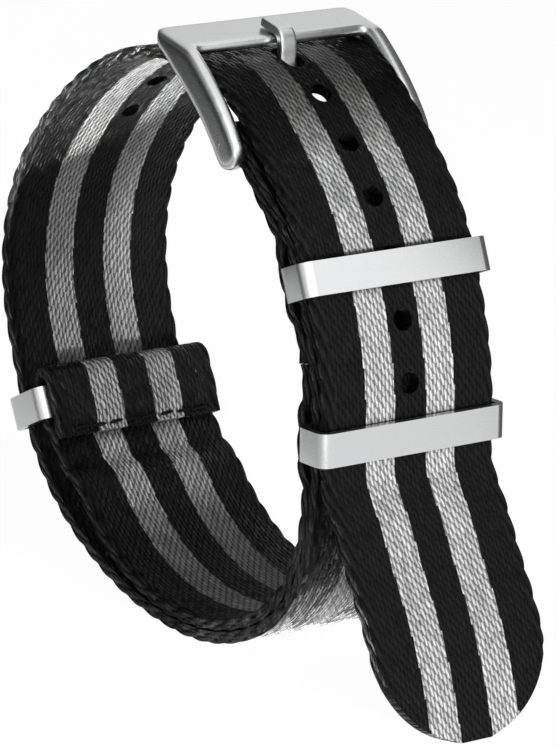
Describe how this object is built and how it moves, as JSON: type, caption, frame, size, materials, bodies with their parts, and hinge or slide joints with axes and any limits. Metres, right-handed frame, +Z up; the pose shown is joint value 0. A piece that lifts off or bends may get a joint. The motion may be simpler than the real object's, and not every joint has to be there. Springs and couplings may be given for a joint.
{
  "type": "watch strap",
  "caption": "Striped woven nylon pull-through watch strap, closed on its pin buckle, with metal ring keepers and a free rounded tail.",
  "frame": {"origin": "on the floor, below the middle of the closed strap's box", "axes": "+Z up, +X across the webbing, +Y from the free tail towards the back of the loop; the strap stands on its tail tip and the bottom of its loop"},
  "size_m": [0.024, 0.0726, 0.0621],
  "materials": {
    "webbing": "woven nylon, charcoal with two light grey stripes",
    "thread": "black sewing thread",
    "satin_steel": "satin polished stainless steel"
  },
  "bodies": {
    "strap": {"main_strap": "webbing", "short_strap": "webbing", "buckle_tack": "thread", "fold_end_tack": "thread", "short_strap_tack": "thread", "lower_keeper_tack": "thread", "watch_keeper_tack": "thread"},
    "buckle": {"buckle_frame": "satin_steel", "buckle_pin": "satin_steel"},
    "tongue": {"buckle_tongue": "satin_steel"},
    "upper_ring": {"upper_keeper": "satin_steel"},
    "lower_ring": {"lower_keeper": "satin_steel"},
    "watch_ring": {"watch_keeper": "satin_steel"}
  },
  "joints": [
    {"name": "buckle_hinge", "type": "hinge", "parent": "strap", "child": "buckle", "pos_m": [0, -0.00392, 0.05269], "axis": [1, 0, 0], "range_deg": [0, 3]},
    {"name": "tongue_hinge", "type": "hinge", "parent": "buckle", "child": "tongue", "pos_m": [0, -0.00392, 0.05269], "axis": [1, 0, 0], "range_deg": [0, 2]},
    {"name": "upper_keeper_slide", "type": "slide", "parent": "strap", "child": "upper_ring", "axis": [0, -0.4384, -0.8988], "range_m": [-0.0004, 0.0004]},
    {"name": "lower_keeper_slide", "type": "slide", "parent": "strap", "child": "lower_ring", "axis": [0, -0.0872, -0.9962], "range_m": [-0.0004, 0.0004]},
    {"name": "watch_keeper_rock", "type": "hinge", "parent": "strap", "child": "watch_ring", "pos_m": [0, 0.02635, 0.01648], "axis": [1, 0, 0], "range_deg": [-2, 4]}
  ]
}
